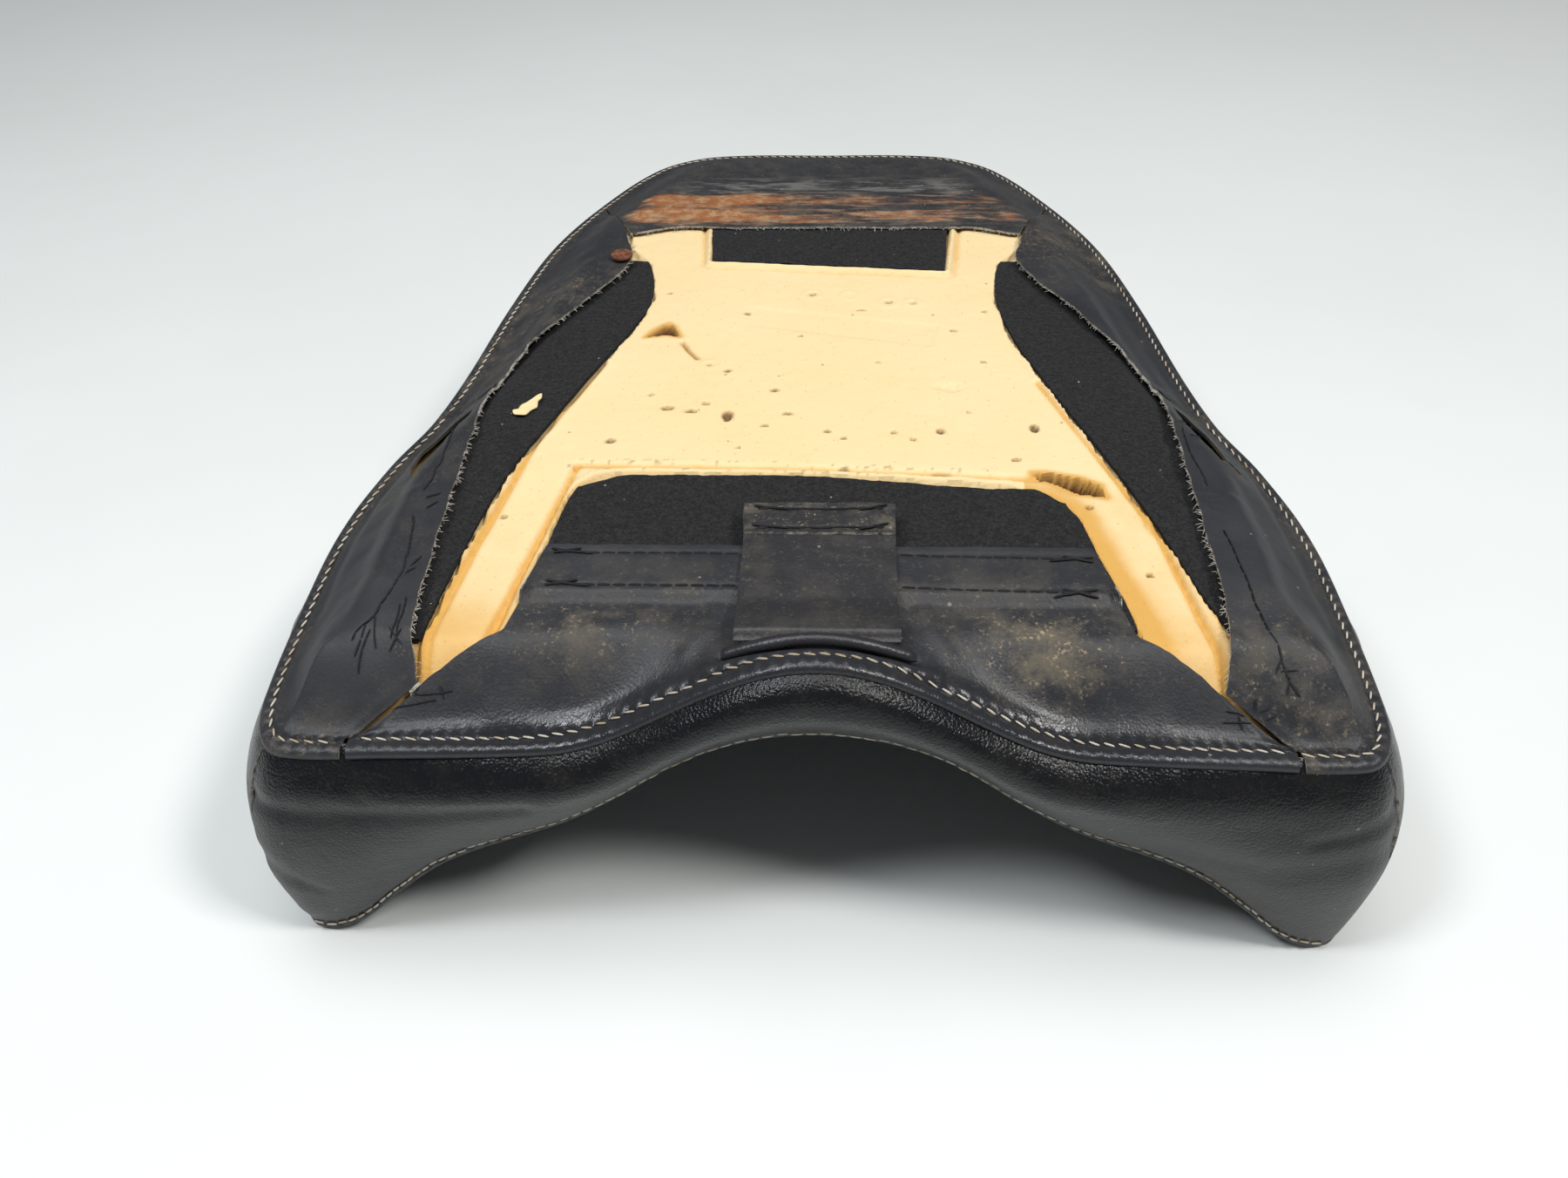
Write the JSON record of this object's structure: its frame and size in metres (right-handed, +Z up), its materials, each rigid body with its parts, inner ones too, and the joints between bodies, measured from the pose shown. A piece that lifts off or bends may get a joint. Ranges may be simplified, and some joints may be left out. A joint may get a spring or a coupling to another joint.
{
  "type": "motorcycle seat cushion",
  "caption": "Moulded foam seat cushion in a stitched vinyl cover, shown underside up: folded cover flaps, felt pads, hemmed rear tongue and a hinged pull strap.",
  "frame": {"origin": "on the floor, under the centre of the cushion's box as it lies seating face down", "axes": "+Z up (the seat's underside faces up), -Y to the wide rear end, +Y to the narrow front end, X across"},
  "size_m": [0.4718, 0.5707, 0.1674],
  "materials": {
    "vinyl": "grained coated vinyl, semi gloss on the walls, dusty on the folded flaps",
    "foam": "matt skinned polyurethane foam",
    "felt": "matt needled felt",
    "tan_thread": "twisted thread",
    "black_thread": "twisted thread",
    "listing": "plain strip",
    "rusty_steel": "rusted"
  },
  "bodies": {
    "cushion": {"foam_core": "foam", "seat_middle_panel": "vinyl", "left_bolster_panel": "vinyl", "right_bolster_panel": "vinyl", "rear_boxing": "vinyl", "left_boxing": "vinyl", "right_boxing": "vinyl", "front_boxing": "vinyl", "rear_flap": "vinyl", "left_rear_flap": "vinyl", "right_rear_flap": "vinyl", "left_front_flap": "vinyl", "right_front_flap": "vinyl", "front_flap": "vinyl", "rear_felt_pad": "felt", "left_felt_pad": "felt", "right_felt_pad": "felt", "front_felt_pad": "felt", "rear_hem_sleeve": "vinyl", "rear_listing_strip": "listing", "left_listing_strip": "listing", "right_listing_strip": "listing", "strap_root_welt": "vinyl", "anchor_button": "rusty_steel", "upper_seam_thread": "tan_thread", "rear_lower_seam_thread": "tan_thread", "left_flap_thread": "black_thread", "right_flap_thread": "black_thread", "hem_thread_front_left": "black_thread", "hem_thread_front_right": "black_thread", "hem_thread_rear_left": "black_thread", "hem_thread_rear_right": "black_thread"},
    "pull_strap": {"pull_strap": "vinyl", "pull_strap_hem": "vinyl", "pull_strap_thread_end": "black_thread", "pull_strap_thread_inner": "black_thread"}
  },
  "joints": [
    {"name": "pull_strap_hinge", "type": "hinge", "parent": "cushion", "child": "pull_strap", "pos_m": [0, -0.24506, 0.16387], "axis": [1, 0, 0], "range_deg": [0, 135]}
  ]
}
